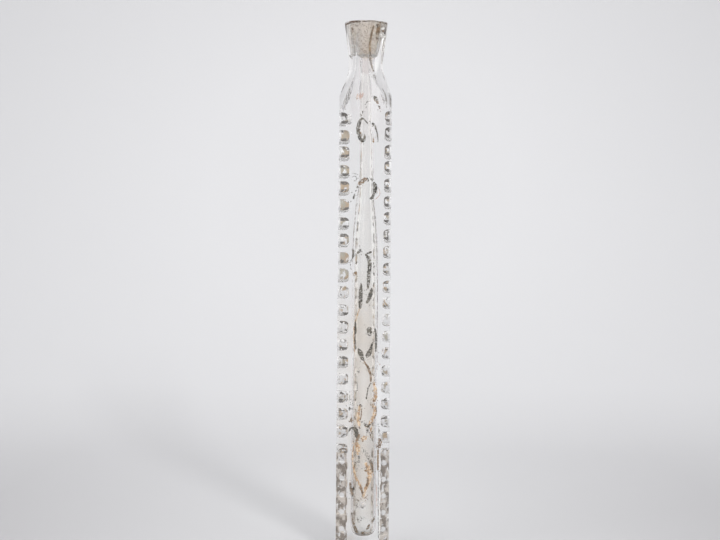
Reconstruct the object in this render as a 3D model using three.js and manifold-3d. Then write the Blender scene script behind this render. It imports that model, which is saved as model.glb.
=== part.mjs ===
// A tall cut-glass smelling salts bottle, standing on its flat foot. Millimetres, +Z up, the front looks along -Y.
// The glass is one piece. A round blank was blown and its four sides were ground flat, so the corners only form
// below the round shoulder. Each corner has a row of wheel-cut notches, and the neck has a ring of hollow flutes.
// The mouth is a ground taper for a stopper, and a narrow throat leads from it down to the long hollow.
import * as THREE from "three";
import { mergeVertices } from "three/addons/utils/BufferGeometryUtils.js";
import Module from "manifold-3d";

const wasm = await Module();
wasm.setup();

// The outside
const overallHeight = 165;
const footWidth = 16.4;
const topWidth = 16.1; // where the sides meet the shoulder
const bodyDepth = 13.2;
const footBevel = 0.6;

// The round blank
const mouthDiameter = 13.5;
const lipRound = 0.45;
const waistDiameter = 11.2;
const waistDrop = 13.6; // from the rim down to the narrowest place
const shoulderDrop = 28.5; // from the rim down to where the corners are complete
const blankOversize = 0.3; // how far the blank stands outside the ground corners

// The six flutes of the neck, cut by eye, so neither their spacing nor their depth is even
const frontFluteTurn = -3; // degrees from the front towards the right, as for the others
const rightFluteTurn = 46;
const backRightFluteTurn = 110;
const backFluteTurn = 176;
const backLeftFluteTurn = 246;
const leftFluteTurn = 288;
const fluteHollow = 20; // radius of the hollow across a flute
const fluteMouth = 12.2; // across opposite flutes, at the rim
const fluteWaist = 9.1; // the same at the narrowest place
const rightFluteWaist = 8; // twice the distance from the axis to the deeper flute at the front right
const leftFluteWaist = 9.8; // the same for the two shallower flutes on the left
const tongueDrop = 37; // from the rim down to where the front and back flutes run out on the faces
const shortFluteDrop = 27.5; // the same for the flutes that run out on the shoulder

// The way in
const socketMouth = 10.6;
const socketEnd = 5.8;
const socketDepth = 10;
const throatDiameter = 3.5;
const throatLength = 5.9;

// The hollow
const hollowTopWidth = 4.4;
const hollowTopDrop = 23; // from the rim down to where the throat has opened out
const pinchWidth = 4.1;
const pinchDrop = 42.5; // from the rim down to the narrowest place of the hollow
const hollowWidth = 7.7;
const hollowFlatness = 0.55; // its depth from front to back, as a share of its width
const bellyDrop = 71.5; // from the rim down to where the hollow has its full width
const floorThickness = 5.4;
const pinchDrift = 0.45; // how far the narrowest place lies to the right of the middle
const hollowDrift = 0.28; // the same for the wide part

// The notches along the corners. Their reach is measured along each face, from the sharp corner.
const leftReachTop = 3.2;
const leftReachFoot = 3.5;
const rightReachTop = 2;
const rightReachFoot = 2.9;
const notchHeight = 3.4;
const notchRound = 1;
const leftPitch = 5.37;
const rightPitch = 5.22;
const leftCount = 25;
const rightCount = 26;
const leftTopDrop = 30.2; // from the rim down to the middle of the top notch
const rightTopDrop = 29.6;
const backLag = 0.5; // how far the notches of the back corners sit below those in front
const notchWander = 0.2; // the hand-cut spacing is uneven by up to this much

// The plain bevel that runs up each corner from the foot, over the lowest notches, to a round end
const leftBevelReach = 3.2; // along each face, from the sharp corner
const rightBevelReach = 2.6;
const bevelTop = 32.6; // height of its round end
const bevelSpare = 0.3; // how far the round end is wider than the bevel, on each side

// The chip in the rim, at the front right
const chipTurn = 46; // degrees from the front towards the right
const chipDepth = 0.9;
const chipRadius = 2.6;
const chipDrop = 0.9; // from the rim down to the middle of the chip

// How finely round forms are cut into flats
const roundSides = 60;
const fluteSides = 110;
const hollowSides = 32;
const curveSteps = 7;
const cornerSteps = 2;
const overshoot = 1; // how far cutters stand outside what they cut

const halfDepth = bodyDepth / 2;
const waistHeight = overallHeight - waistDrop;
const shoulderHeight = overallHeight - shoulderDrop;
const socketFloor = overallHeight - socketDepth;
const throatFloor = socketFloor - throatLength;
const blankRadius = Math.hypot(topWidth / 2, halfDepth) + blankOversize;

// A closed three.js geometry as a solid that can be cut and joined.
function solid(geometry) {
  const bare = geometry.clone();
  bare.deleteAttribute("normal");
  bare.deleteAttribute("uv");
  const merged = mergeVertices(bare, 1e-4);
  return new wasm.Manifold(
    new wasm.Mesh({
      numProp: 3,
      vertProperties: new Float32Array(merged.attributes.position.array),
      triVerts: new Uint32Array(merged.index.array),
    }),
  );
}

// The solid's surface as a three.js geometry.
function surface(shape) {
  const mesh = shape.getMesh();
  const geometry = new THREE.BufferGeometry();
  geometry.setAttribute("position", new THREE.BufferAttribute(new Float32Array(mesh.vertProperties), 3));
  geometry.setIndex(new THREE.BufferAttribute(new Uint32Array(mesh.triVerts), 1));
  geometry.computeVertexNormals();
  return geometry;
}

// A profile of (radius, height) points, from bottom to top, turned about the Z axis.
function turned(points, sides) {
  return new THREE.LatheGeometry(points, sides).rotateX(Math.PI / 2);
}

// The blank as it was blown: shoulder, waist and flared mouth, all round.
function roundBlank() {
  const mouthRadius = mouthDiameter / 2;
  const waistRadius = waistDiameter / 2;
  const lipHeight = overallHeight - lipRound;
  const outline = new THREE.Path();
  outline.moveTo(0, 0);
  outline.lineTo(blankRadius, 0);
  outline.lineTo(blankRadius, shoulderHeight);
  outline.bezierCurveTo(
    blankRadius - 1.6, shoulderHeight + 3.5,
    waistRadius, waistHeight - 4.5,
    waistRadius, waistHeight,
  );
  outline.bezierCurveTo(
    waistRadius, waistHeight + 4,
    mouthRadius - 0.5, lipHeight - 4.5,
    mouthRadius, lipHeight,
  );
  outline.absarc(mouthRadius - lipRound, lipHeight, lipRound, 0, Math.PI / 2, false);
  outline.lineTo(0, overallHeight);
  return solid(turned(outline.getPoints(curveSteps), roundSides));
}

// The block that the four ground sides enclose: slightly narrower at the top, with a bevel round the foot.
function groundSides() {
  const rings = [
    [footWidth / 2 - footBevel, halfDepth - footBevel, 0],
    [footWidth / 2, halfDepth, footBevel],
    [topWidth / 2, halfDepth, overallHeight + overshoot],
  ];
  const points = [];
  for (const [w, d, z] of rings) {
    points.push(-w, -d, z, w, -d, z, w, d, z, -w, d, z);
  }
  const faces = [0, 2, 1, 0, 3, 2, 8, 9, 10, 8, 10, 11];
  for (const ring of [0, 4]) {
    for (let side = 0; side < 4; side++) {
      const a = ring + side;
      const b = ring + ((side + 1) % 4);
      faces.push(a, b, b + 4, a, b + 4, a + 4);
    }
  }
  const block = new THREE.BufferGeometry();
  block.setAttribute("position", new THREE.Float32BufferAttribute(points, 3));
  block.setIndex(faces);
  return solid(block);
}

// A cutter for one flute. It is turned about an upright axis outside the neck, so that the flute is hollow across,
// and its side follows the neck down to where the flute runs out.
function fluteCutter(degrees, width, exitRadius, exitDrop, firstPull, lastPull) {
  const axisRadius = fluteHollow + width / 2;
  const exitHeight = overallHeight - exitDrop;
  const path = new THREE.Path();
  path.moveTo(exitRadius, exitHeight);
  path.bezierCurveTo(
    exitRadius - lastPull[0], exitHeight + lastPull[1],
    width / 2, waistHeight - firstPull,
    width / 2, waistHeight,
  );
  path.bezierCurveTo(
    width / 2, waistHeight + 4.5,
    fluteMouth / 2 - 0.4, overallHeight - 4,
    fluteMouth / 2 + 0.1, overallHeight + overshoot,
  );
  const profile = path.getPoints(curveSteps).map((p) => new THREE.Vector2(axisRadius - p.x, p.y));
  profile.unshift(new THREE.Vector2(0, exitHeight));
  profile.push(new THREE.Vector2(0, overallHeight + overshoot));
  const turn = THREE.MathUtils.degToRad(degrees);
  const cutter = turned(profile, fluteSides);
  return solid(cutter.translate(axisRadius * Math.sin(turn), -axisRadius * Math.cos(turn), 0));
}

function flutes() {
  const long = [frontFluteTurn, backFluteTurn];
  const short = [
    [rightFluteTurn, rightFluteWaist],
    [backRightFluteTurn, fluteWaist],
    [backLeftFluteTurn, leftFluteWaist],
    [leftFluteTurn, leftFluteWaist],
  ];
  return [
    ...long.map((turn) => fluteCutter(turn, fluteWaist, halfDepth + 0.05, tongueDrop, 6, [0.9, 5])),
    ...short.map(([turn, width]) => fluteCutter(turn, width, blankRadius, shortFluteDrop, 4.5, [1.6, 3.5])),
  ];
}

// How far the middle of the hollow lies to the right at a height.
function drift(height) {
  const { smoothstep } = THREE.MathUtils;
  const belly = overallHeight - bellyDrop;
  const pinch = overallHeight - pinchDrop;
  const below = THREE.MathUtils.lerp(hollowDrift, pinchDrift, smoothstep(height, belly, pinch));
  return below * (1 - smoothstep(height, pinch, throatFloor));
}

// How deep the open inside is from front to back at a height, as a share of its width. The way in is round.
function flatness(height) {
  const opened = THREE.MathUtils.smoothstep(height, overallHeight - hollowTopDrop, throatFloor);
  return THREE.MathUtils.lerp(hollowFlatness, 1, opened);
}

// The open inside, from above the rim down to the rounded floor of the hollow.
function inside() {
  const fullRadius = hollowWidth / 2;
  const path = new THREE.Path();
  path.moveTo(0, floorThickness);
  path.quadraticCurveTo(fullRadius, floorThickness, fullRadius, floorThickness + fullRadius * 0.9);
  path.lineTo(fullRadius, overallHeight - bellyDrop);
  path.bezierCurveTo(
    fullRadius, overallHeight - bellyDrop + 10,
    pinchWidth / 2, overallHeight - pinchDrop - 16,
    pinchWidth / 2, overallHeight - pinchDrop,
  );
  path.lineTo(hollowTopWidth / 2, overallHeight - hollowTopDrop);
  path.quadraticCurveTo(hollowTopWidth / 2, throatFloor - 1.5, throatDiameter / 2, throatFloor);
  path.lineTo(throatDiameter / 2, socketFloor - 0.5);
  path.lineTo(socketEnd / 2, socketFloor);
  path.lineTo(socketMouth / 2, overallHeight);
  const flare = (socketMouth - socketEnd) / 2 / socketDepth;
  path.lineTo(socketMouth / 2 + flare * overshoot, overallHeight + overshoot);
  path.lineTo(0, overallHeight + overshoot);
  const form = turned(path.getPoints(curveSteps), hollowSides);
  const places = form.attributes.position;
  for (let i = 0; i < places.count; i++) {
    const height = places.getZ(i);
    places.setX(i, places.getX(i) + drift(height));
    places.setY(i, places.getY(i) * flatness(height));
  }
  return solid(form);
}

// Places a copy of a cutter at each corner. The cutter is made with the sharp corner on the Z axis and +X outwards.
function atCorner(cutter, right, back, height) {
  const width = footWidth + (topWidth - footWidth) * (height / overallHeight);
  const turn = THREE.MathUtils.radToDeg(Math.atan2(back, right));
  return cutter.rotate([0, 0, turn]).translate([(right * width) / 2, back * halfDepth, height]);
}

const corners = [[1, 1], [-1, 1], [-1, -1], [1, -1]];

// Upright arches pressed into the four corners.
function cornerBevels() {
  return corners.map(([right, back]) => {
    const inner = -(right > 0 ? rightBevelReach : leftBevelReach) / Math.SQRT2;
    const half = -inner + bevelSpare;
    const arch = new THREE.Shape();
    arch.moveTo(-half, -overshoot);
    arch.lineTo(half, -overshoot);
    arch.lineTo(half, bevelTop - half);
    arch.absarc(0, bevelTop - half, half, 0, Math.PI, false);
    arch.closePath();
    const options = { depth: -inner + overshoot, bevelEnabled: false, curveSegments: 2 * cornerSteps };
    const outward = new THREE.ExtrudeGeometry(arch, options).rotateX(Math.PI / 2).rotateZ(Math.PI / 2);
    return atCorner(solid(outward.translate(inner, 0, 0)), right, back, 0);
  });
}

// Bars laid across the four corners. Each leaves one notch. The bar's inner side passes through the Z axis.
function notches() {
  const thick = leftReachFoot / Math.SQRT2 + 2 * overshoot;
  const low = -notchHeight / 2;
  const bar = new THREE.Shape();
  bar.moveTo(thick, low);
  bar.lineTo(thick, -low);
  bar.lineTo(notchRound, -low);
  bar.absarc(notchRound, -low - notchRound, notchRound, Math.PI / 2, Math.PI, false);
  bar.absarc(notchRound, low + notchRound, notchRound, Math.PI, 1.5 * Math.PI, false);
  bar.closePath();
  const length = 2 * leftReachFoot + 4 * overshoot;
  const options = { depth: length, bevelEnabled: false, curveSegments: cornerSteps };
  const one = solid(new THREE.ExtrudeGeometry(bar, options).translate(0, 0, -length / 2).rotateX(Math.PI / 2));
  const sides = {
    1: [rightCount, rightPitch, rightTopDrop, rightReachTop, rightReachFoot],
    "-1": [leftCount, leftPitch, leftTopDrop, leftReachTop, leftReachFoot],
  };
  const cutters = [];
  corners.forEach(([right, back], corner) => {
    const [count, pitch, drop, reachTop, reachFoot] = sides[right];
    for (let i = 0; i < count; i++) {
      const wander = notchWander * Math.sin(2.4 * i + 1.9 * corner + 0.8 * Math.sin(5 * i));
      const lag = back > 0 ? backLag : 0;
      const height = overallHeight - drop - pitch * i - lag + wander;
      const reach = THREE.MathUtils.lerp(reachTop, reachFoot, i / (count - 1));
      cutters.push(atCorner(one.translate([-reach / Math.SQRT2, 0, 0]), right, back, height));
    }
  });
  return cutters;
}

// A shell-shaped break in the edge of the rim, with two smaller ones beside it.
function chips() {
  const bites = [
    [chipTurn, chipRadius, chipDepth, chipDrop],
    [chipTurn + 17, chipRadius * 0.55, chipDepth * 0.55, chipDrop * 0.6],
    [chipTurn - 15, chipRadius * 0.45, chipDepth * 0.5, chipDrop * 2.6],
  ];
  return bites.map(([degrees, radius, depth, drop], i) => {
    const turn = THREE.MathUtils.degToRad(degrees);
    const edge = mouthDiameter / 2 - 0.35 + radius - depth;
    const ball = new THREE.IcosahedronGeometry(radius, 2).rotateX(0.7 * i).rotateZ(1.3 * i + 0.4);
    return solid(ball.translate(edge * Math.sin(turn), -edge * Math.cos(turn), overallHeight - drop));
  });
}

let glass = roundBlank().intersect(groundSides());
for (const cutter of [...flutes(), ...cornerBevels(), ...notches(), ...chips(), inside()]) {
  glass = glass.subtract(cutter);
}

const clearGlass = new THREE.MeshStandardMaterial({
  name: "clear glass",
  color: 0xdfe3e4,
  roughness: 0.05,
  metalness: 0,
  transparent: true,
  opacity: 0.55,
});
const bottle = new THREE.Mesh(surface(glass), clearGlass);
bottle.name = "bottle";

const saltsBottle = new THREE.Group();
saltsBottle.name = "smelling_salts_bottle";
saltsBottle.add(bottle);

export default saltsBottle;
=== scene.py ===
"""A tall cut-glass smelling salts bottle on a pale studio sweep, seen from the front. Metres, +Z up."""

import math
import random

import bmesh
import bpy
from mathutils import Matrix, Vector, noise
from mathutils.bvhtree import BVHTree


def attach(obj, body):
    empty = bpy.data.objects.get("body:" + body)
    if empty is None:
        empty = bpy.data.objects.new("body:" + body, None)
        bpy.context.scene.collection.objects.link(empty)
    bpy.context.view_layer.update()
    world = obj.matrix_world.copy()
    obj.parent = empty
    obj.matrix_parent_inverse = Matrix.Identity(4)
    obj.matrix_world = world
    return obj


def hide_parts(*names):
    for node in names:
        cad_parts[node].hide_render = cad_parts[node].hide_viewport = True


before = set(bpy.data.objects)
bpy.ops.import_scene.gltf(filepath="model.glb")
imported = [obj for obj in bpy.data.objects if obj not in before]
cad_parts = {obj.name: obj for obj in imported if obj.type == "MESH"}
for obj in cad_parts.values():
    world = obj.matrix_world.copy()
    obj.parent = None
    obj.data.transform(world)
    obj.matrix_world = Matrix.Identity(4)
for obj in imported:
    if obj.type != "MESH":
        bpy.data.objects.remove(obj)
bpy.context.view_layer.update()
scene = bpy.context.scene

MM = 0.001

# The bottle's own sizes, in millimetres
HEIGHT = 165.0
FOOT_WIDTH = 16.4
TOP_WIDTH = 16.1
DEPTH = 13.2
FOOT_BEVEL = 0.6
MOUTH_RADIUS = 6.75
LIP_ROUND = 0.45
WAIST_RADIUS = 5.6
WAIST = HEIGHT - 13.6
SHOULDER = HEIGHT - 28.5
BLANK_RADIUS = math.hypot(TOP_WIDTH / 2, DEPTH / 2) + 0.3
# The cutting wheel's radius, and how far from the middle its cuts lie at the mouth
FLUTE_HOLLOW = 20.0
FLUTE_MOUTH = 6.1
# Where each flute and tongue looks, in degrees, and how far from the middle it lies at the waist
FLUTES = ((46, 4.0), (110, 4.55), (246, 4.9), (288, 4.9))
TONGUES = ((-3, 4.55), (176, 4.55))
FLUTE_DROP = 27.5
TONGUE_DROP = 37
SOCKET_MOUTH = 5.3
SOCKET_END = 2.9
SOCKET_FLOOR = HEIGHT - 10
THROAT = 1.75
THROAT_FLOOR = SOCKET_FLOOR - 5.9
HOLLOW = 3.85
FLATNESS = 0.55
HOLLOW_FLOOR = 5.4
BELLY = HEIGHT - 71.5
PINCH = HEIGHT - 42.5
PINCH_RADIUS = 2.05
COLLAR = HEIGHT - 23
COLLAR_RADIUS = 2.2
# How far the hollow's middle lies to the right, at the belly and at the pinch
BELLY_DRIFT = 0.28
PINCH_DRIFT = 0.45
NOTCH_HEIGHT = 3.4
NOTCH_ROUND = 1.0
# Notches: how many, their pitch, the height of the first, and their reach at the top and the foot
RIGHT_NOTCHES = (26, 5.22, HEIGHT - 29.6, 2.0, 2.9)
LEFT_NOTCHES = (25, 5.37, HEIGHT - 30.2, 3.2, 3.5)
LEFT_BEVEL = 3.2
RIGHT_BEVEL = 2.6
BEVEL_TOP = 32.6
# Bites out of the rim: degrees to the right of the front, radius, depth inwards and drop of the middle
BITES = ((46, 2.6, 0.9, 0.9), (63, 1.43, 0.5, 0.54), (31, 1.17, 0.45, 2.34))
# Air bubbles: the middle and the radius
BUBBLES = (((0.1, -5.45, 15.4), 0.92), ((1.9, 4.9, 58.0), 0.2))
# The foot touches the paper at a few high spots only
AIR_GAP = 0.03
CORNERS = ((1, 1), (-1, 1), (-1, -1), (1, -1))

# Facets around the blank, a flute and the inside
BLANK_SIDES = 160
FLUTE_SIDES = 300
INSIDE_SIDES = 96

# Edges that turn by more degrees than this stay crisp
FLAT_LIMIT = 0.5
FLUTE_LIMIT = 14
OTHER_LIMIT = 24

# Material slots of the glass piece
CLEAR, GROUND, LEDGE, THROAT_WALL, RIM, NOTCH, NOTCH_END, FRACTURE = range(8)
HOLLOW_WALL, HOLLOW_END, FLUTE, TONGUE, SIDE, BEVEL = range(8, 14)


def bezier(a, b, c, d, steps):
    """Points along a cubic curve, without its first point."""
    points = []
    for i in range(1, steps + 1):
        t = i / steps
        weights = ((1 - t) ** 3, 3 * t * (1 - t) ** 2, 3 * t * t * (1 - t), t**3)
        points.append(tuple(sum(w * p[k] for w, p in zip(weights, (a, b, c, d))) for k in (0, 1)))
    return points


def new_object(name, data):
    piece = bpy.data.objects.new(name, data)
    scene.collection.objects.link(piece)
    return piece


def mesh_from(name, points, faces, slots=None):
    """A mesh from points in millimetres. slots gives a material slot for each face."""
    mesh = bpy.data.meshes.new(name)
    mesh.from_pydata([tuple(c * MM for c in p) for p in points], [], faces)
    if slots:
        mesh.polygons.foreach_set("material_index", slots)
    mesh.validate()
    return mesh


def turned(name, profile, sides, slots=None, centre=(0.0, 0.0)):
    """A closed form from a profile of (radius, height) points that starts and ends on the axis."""
    points, faces, face_slots, rings = [], [], [], []
    for radius, height in profile:
        if radius < 1e-9:
            rings.append([len(points)] * sides)
            points.append((centre[0], centre[1], height))
        else:
            rings.append(list(range(len(points), len(points) + sides)))
            for i in range(sides):
                a = 2 * math.pi * i / sides
                x = centre[0] + radius * math.cos(a)
                y = centre[1] + radius * math.sin(a)
                points.append((x, y, height))
    for k, (low, high) in enumerate(zip(rings, rings[1:])):
        for i in range(sides):
            j = (i + 1) % sides
            corners = [low[i], low[j], high[j], high[i]]
            faces.append(list(dict.fromkeys(corners)))
            face_slots.append(slots[k] if slots else CLEAR)
    return mesh_from(name, points, faces, face_slots)


def round_blank():
    """The turned form that all the cutting starts from."""
    profile = [(0, 0), (BLANK_RADIUS, 0), (BLANK_RADIUS, SHOULDER)]
    lip = HEIGHT - LIP_ROUND
    profile += bezier(
        (BLANK_RADIUS, SHOULDER), (BLANK_RADIUS - 1.6, SHOULDER + 3.5),
        (WAIST_RADIUS, WAIST - 4.5), (WAIST_RADIUS, WAIST), 24,
    )
    profile += bezier(
        (WAIST_RADIUS, WAIST), (WAIST_RADIUS, WAIST + 4),
        (MOUTH_RADIUS - 0.5, lip - 4.5), (MOUTH_RADIUS, lip), 20,
    )
    slots = [CLEAR] * (len(profile) - 1)
    for i in range(1, 7):
        a = i / 6 * math.pi / 2
        radius = MOUTH_RADIUS - LIP_ROUND * (1 - math.cos(a))
        profile.append((radius, lip + LIP_ROUND * math.sin(a)))
        slots.append(RIM)
    profile.append((0, HEIGHT))
    slots.append(RIM)
    return turned("round_blank", profile, BLANK_SIDES, slots)


def ground_sides():
    """The oblong section, with a small bevel around the foot."""
    rings = [
        (FOOT_WIDTH / 2 - FOOT_BEVEL, DEPTH / 2 - FOOT_BEVEL, 0.0),
        (FOOT_WIDTH / 2 - 0.18, DEPTH / 2 - 0.18, 0.28),
        (FOOT_WIDTH / 2, DEPTH / 2, FOOT_BEVEL),
        (TOP_WIDTH / 2, DEPTH / 2, HEIGHT + 1),
    ]
    points = []
    for w, d, z in rings:
        points += [(-w, -d, z), (w, -d, z), (w, d, z), (-w, d, z)]
    faces = [[3, 2, 1, 0], [12, 13, 14, 15]]
    for ring in range(3):
        for side in range(4):
            a = 4 * ring + side
            b = 4 * ring + (side + 1) % 4
            faces.append([a, b, b + 4, a + 4])
    return mesh_from("ground_sides", points, faces, [SIDE] * len(faces))


def flute_cutter(degrees, waist, slot, exit_radius, exit_drop, first_pull, last_pull):
    """A wheel-shaped cutter, whose nearest line runs from the mouth down to where the cut runs out.

    first_pull and last_pull bend that line below the waist and where it ends.
    """
    axis = FLUTE_HOLLOW + waist
    low = HEIGHT - exit_drop
    path = [(exit_radius, low)]
    path += bezier(
        path[0], (exit_radius - last_pull[0], low + last_pull[1]),
        (waist, WAIST - first_pull), (waist, WAIST), 22,
    )
    path += bezier(
        (waist, WAIST), (waist, WAIST + 4.5),
        (FLUTE_MOUTH - 0.4, HEIGHT - 4), (FLUTE_MOUTH + 0.1, HEIGHT + 1), 14,
    )
    profile = [(0, low)] + [(axis - r, z) for r, z in path] + [(0, HEIGHT + 1)]
    turn = math.radians(degrees)
    slots = [slot] * (len(profile) - 1)
    centre = (axis * math.sin(turn), -axis * math.cos(turn))
    return turned("flute_cutter", profile, FLUTE_SIDES, slots, centre)


def flute_cutters():
    """The six flutes of the neck. The front and back ones run out as tongues on the flat faces."""
    cutters = []
    for turn, waist in TONGUES:
        cutters.append(flute_cutter(turn, waist, TONGUE, DEPTH / 2 + 0.05, TONGUE_DROP, 6, (0.9, 5)))
    for turn, waist in FLUTES:
        cutters.append(flute_cutter(turn, waist, FLUTE, BLANK_RADIUS, FLUTE_DROP, 4.5, (1.6, 3.5)))
    return cutters


def bar(section, low, high):
    """A bar with a section of (x, z) points, outwards along +X, that runs along Y from low to high."""
    n = len(section)
    points = [(x, y, z) for y in (low, high) for x, z in section]
    faces = [list(range(n)), list(range(2 * n - 1, n - 1, -1))]
    for k in range(n):
        m = (k + 1) % n
        faces.append([m, k, n + k, n + m])
    return points, faces


def at_corners(name, bars):
    """One mesh of bars given as ((right, back), height, points, faces, slots), with +X outwards."""
    all_points, all_faces, all_slots = [], [], []
    for (right, back), height, points, faces, slots in bars:
        turn = math.atan2(back, right)
        width = FOOT_WIDTH + (TOP_WIDTH - FOOT_WIDTH) * height / HEIGHT
        first = len(all_points)
        for x, y, z in points:
            across = x * math.sin(turn) + y * math.cos(turn) + back * DEPTH / 2
            along = x * math.cos(turn) - y * math.sin(turn) + right * width / 2
            all_points.append((along, across, z + height))
        all_faces += [[first + v for v in face] for face in faces]
        all_slots += slots
    return mesh_from(name, all_points, all_faces, all_slots)


def notch_cutter():
    """Bars laid across the four corners. They don't touch each other."""
    top = NOTCH_HEIGHT / 2
    # The face of a bar that cuts the notch's floor
    floor_face = 10
    bars = []
    for number, corner in enumerate(CORNERS):
        right, back = corner
        count, pitch, first, reach_top, reach_foot = RIGHT_NOTCHES if right > 0 else LEFT_NOTCHES
        for i in range(count):
            reach = reach_top + (reach_foot - reach_top) * i / (count - 1)
            inner = -reach / math.sqrt(2)
            section = [(2.0, -top), (2.0, top)]
            for start in (90, 180):
                middle = top - NOTCH_ROUND if start == 90 else NOTCH_ROUND - top
                for k in range(7):
                    a = math.radians(start + 15 * k)
                    out = inner + NOTCH_ROUND + NOTCH_ROUND * math.cos(a)
                    section.append((out, middle + NOTCH_ROUND * math.sin(a)))
            points, faces = bar(section, -reach - 2, reach + 2)
            wander = 0.2 * math.sin(2.4 * i + 1.9 * number + 0.8 * math.sin(5 * i))
            height = first - pitch * i - (0.5 if back > 0 else 0) + wander
            if height < BEVEL_TOP - 1:
                slots = [BEVEL] * len(faces)
            else:
                slots = [NOTCH if k == floor_face else NOTCH_END for k in range(len(faces))]
            bars.append((corner, height, points, faces, slots))
    return at_corners("notch_cutter", bars)


def bevel_cutter():
    """Upright arches pressed into the foot of the four corners."""
    bars = []
    for corner in CORNERS:
        inner = -(RIGHT_BEVEL if corner[0] > 0 else LEFT_BEVEL) / math.sqrt(2)
        half = 0.3 - inner
        arch = [(-half, -1.0), (half, -1.0)]
        for i in range(17):
            a = math.pi * i / 16
            arch.append((half * math.cos(a), BEVEL_TOP - half + half * math.sin(a)))
        n = len(arch)
        points = [(x, y, z) for x in (inner, 1.0) for y, z in arch]
        faces = [list(range(n - 1, -1, -1)), list(range(n, 2 * n))]
        for k in range(n):
            m = (k + 1) % n
            faces.append([k, m, n + m, n + k])
        bars.append((corner, 0.0, points, faces, [BEVEL] * len(faces)))
    return at_corners("bevel_cutter", bars)


def chip_cutters():
    """Three bites out of the rim, each with the stepped, rippled surface of broken glass."""
    cutters = []
    for k, (degrees, radius, depth, drop) in enumerate(BITES):
        shape = bmesh.new()
        bmesh.ops.create_icosphere(shape, subdivisions=4, radius=radius * MM)
        for v in shape.verts:
            step = noise.cell(v.co * 1500 + Vector((7.0 * k, 0, 0)))
            ripple = noise.noise(v.co * 1100 + Vector((0, 9.0 * k, 0)))
            v.co *= 1 + 0.06 * step + 0.05 * ripple
        edge = MOUTH_RADIUS - 0.35 + radius - depth
        turn = math.radians(degrees)
        place = Vector((edge * math.sin(turn), -edge * math.cos(turn), HEIGHT - drop)) * MM
        bmesh.ops.translate(shape, verts=shape.verts, vec=place)
        mesh = bpy.data.meshes.new("chip_cutter")
        for face in shape.faces:
            face.material_index = FRACTURE
        shape.to_mesh(mesh)
        shape.free()
        cutters.append(mesh)
    return cutters


def ease(value, low, high):
    """A smooth rise from 0 at low to 1 at high."""
    t = min(1.0, max(0.0, (value - low) / (high - low)))
    return t * t * (3 - 2 * t)


def drift(height):
    """How far the middle of the hollow lies to the right at a height."""
    below = BELLY_DRIFT + (PINCH_DRIFT - BELLY_DRIFT) * ease(height, BELLY, PINCH)
    return below * (1 - ease(height, PINCH, THROAT_FLOOR))


def flatness(height):
    """Depth of the open inside from front to back at a height, as a share of its width."""
    return FLATNESS + (1 - FLATNESS) * ease(height, COLLAR, THROAT_FLOOR)


def inside_cutter():
    """The open inside, from above the rim down to the rounded floor of the hollow."""
    profile = [(0, HOLLOW_FLOOR)]
    round_up = HOLLOW * 0.9
    for i in range(1, 15):
        t = i / 14
        radius = 2 * t * (1 - t) * HOLLOW + t * t * HOLLOW
        profile.append((radius, HOLLOW_FLOOR + t * t * round_up))
    profile.append((HOLLOW, BELLY))
    profile += bezier(
        (HOLLOW, BELLY), (HOLLOW, BELLY + 10),
        (PINCH_RADIUS, PINCH - 16), (PINCH_RADIUS, PINCH), 24,
    )
    widening = 0.15
    for i in range(1, 11):
        profile.append((PINCH_RADIUS + widening * i / 10, PINCH + (COLLAR - PINCH) * i / 10))
    for i in range(1, 11):
        t = i / 10
        start, pull, end = (1 - t) ** 2, 2 * t * (1 - t), t * t
        radius = start * COLLAR_RADIUS + pull * COLLAR_RADIUS + end * THROAT
        profile.append((radius, start * COLLAR + pull * (THROAT_FLOOR - 1.5) + end * THROAT_FLOOR))
    end_rings = 8
    slots = [HOLLOW_END] * end_rings + [HOLLOW_WALL] * (len(profile) - 1 - end_rings)
    slots += [THROAT_WALL] * 6 + [LEDGE] * 4
    for i in range(1, 7):
        profile.append((THROAT, THROAT_FLOOR + (SOCKET_FLOOR - 1 - THROAT_FLOOR) * i / 6))
    profile += bezier(
        (THROAT, SOCKET_FLOOR - 1), (THROAT + 0.1, SOCKET_FLOOR - 0.4),
        (SOCKET_END - 0.2, SOCKET_FLOOR - 0.5), (SOCKET_END, SOCKET_FLOOR), 4,
    )
    flare = (SOCKET_MOUTH - SOCKET_END) / (HEIGHT - SOCKET_FLOOR)
    for step in range(1, 13):
        rise = (HEIGHT - SOCKET_FLOOR + 1) * step / 12
        profile.append((SOCKET_END + flare * rise, SOCKET_FLOOR + rise))
        slots.append(GROUND)
    profile.append((0, HEIGHT + 1))
    slots.append(GROUND)
    mesh = turned("inside_cutter", profile, INSIDE_SIDES, slots)
    for v in mesh.vertices:
        v.co.x += drift(v.co.z / MM) * MM
        v.co.y *= flatness(v.co.z / MM)
    return mesh


def cut(target, cutter_mesh, operation="DIFFERENCE"):
    """Applies one exact cut, and keeps the material slots of both sides."""
    cutter = new_object("cutter", cutter_mesh)
    step = target.modifiers.new("cut", "BOOLEAN")
    step.object = cutter
    step.operation = operation
    step.solver = "EXACT"
    step.material_mode = "INDEX"
    seen = target.evaluated_get(bpy.context.evaluated_depsgraph_get())
    result = bpy.data.meshes.new_from_object(seen)
    target.modifiers.clear()
    old = target.data
    target.data = result
    bpy.data.meshes.remove(old)
    bpy.data.objects.remove(cutter)
    bpy.data.meshes.remove(cutter_mesh)


def add_bubble(shape, centre, radius):
    """A closed air bubble in the glass, so its faces look inwards."""
    made = bmesh.ops.create_icosphere(shape, subdivisions=4, radius=radius)["verts"]
    for v in made:
        v.co.z *= 1.15
        v.co += centre
    faces = {face for v in made for face in v.link_faces}
    bmesh.ops.reverse_faces(shape, faces=list(faces))
    for face in faces:
        face.smooth = True
        face.material_index = CLEAR


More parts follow.
